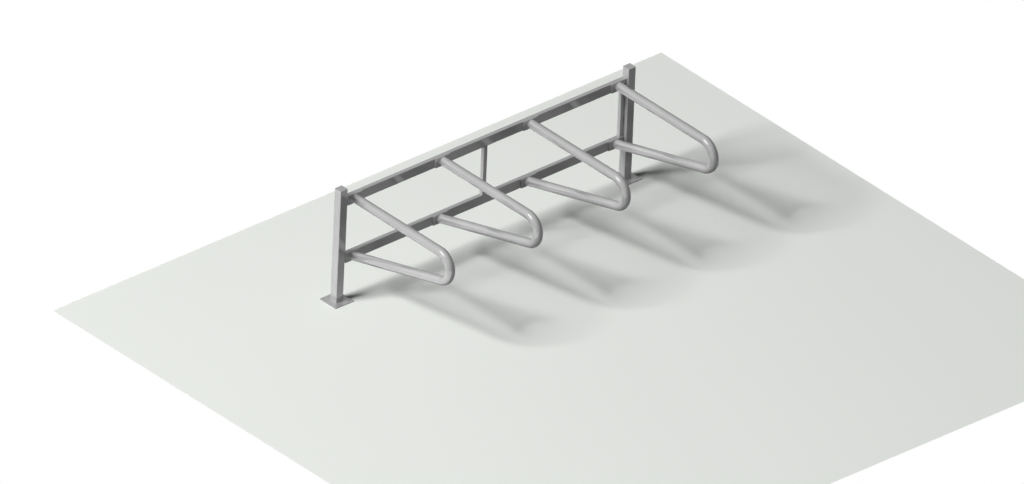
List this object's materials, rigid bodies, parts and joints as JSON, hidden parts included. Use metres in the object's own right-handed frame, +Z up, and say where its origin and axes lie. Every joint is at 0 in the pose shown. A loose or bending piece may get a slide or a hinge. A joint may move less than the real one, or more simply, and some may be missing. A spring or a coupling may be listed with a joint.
{
  "type": "bike rack",
  "caption": "Ground-standing bike rack: a ladder frame between square posts on base plates, with bent tube hoops screwed to its rails for bicycles to lean on and lock to.",
  "frame": {"origin": "on the ground, under the middle of the rack's length and depth", "axes": "+X along the rails towards the right post, hoops reach towards -Y, +Z up"},
  "size_m": [2.616, 1.0479, 0.842],
  "materials": {
    "coated_steel": "smooth gloss mid-grey coating",
    "screw_steel": "dark plain steel, dull in the socket",
    "bush_steel": "machined steel"
  },
  "bodies": {
    "root": {"bottom_rail": "coated_steel", "bottom_rail_bushes": "bush_steel", "centre_upright": "coated_steel", "hoop_1": "coated_steel", "hoop_1_lower_flange": "coated_steel", "hoop_1_screws": "screw_steel", "hoop_1_upper_flange": "coated_steel", "hoop_2": "coated_steel", "hoop_2_lower_flange": "coated_steel", "hoop_2_screws": "screw_steel", "hoop_2_upper_flange": "coated_steel", "hoop_3": "coated_steel", "hoop_3_lower_flange": "coated_steel", "hoop_3_screws": "screw_steel", "hoop_3_upper_flange": "coated_steel", "hoop_4": "coated_steel", "hoop_4_lower_flange": "coated_steel", "hoop_4_screws": "screw_steel", "hoop_4_upper_flange": "coated_steel", "left_base_plate": "coated_steel", "left_post": "coated_steel", "left_post_cap": "coated_steel", "left_upright": "coated_steel", "right_base_plate": "coated_steel", "right_post": "coated_steel", "right_post_cap": "coated_steel", "right_upright": "coated_steel", "top_rail": "coated_steel", "top_rail_bushes": "bush_steel"}
  },
  "joints": []
}
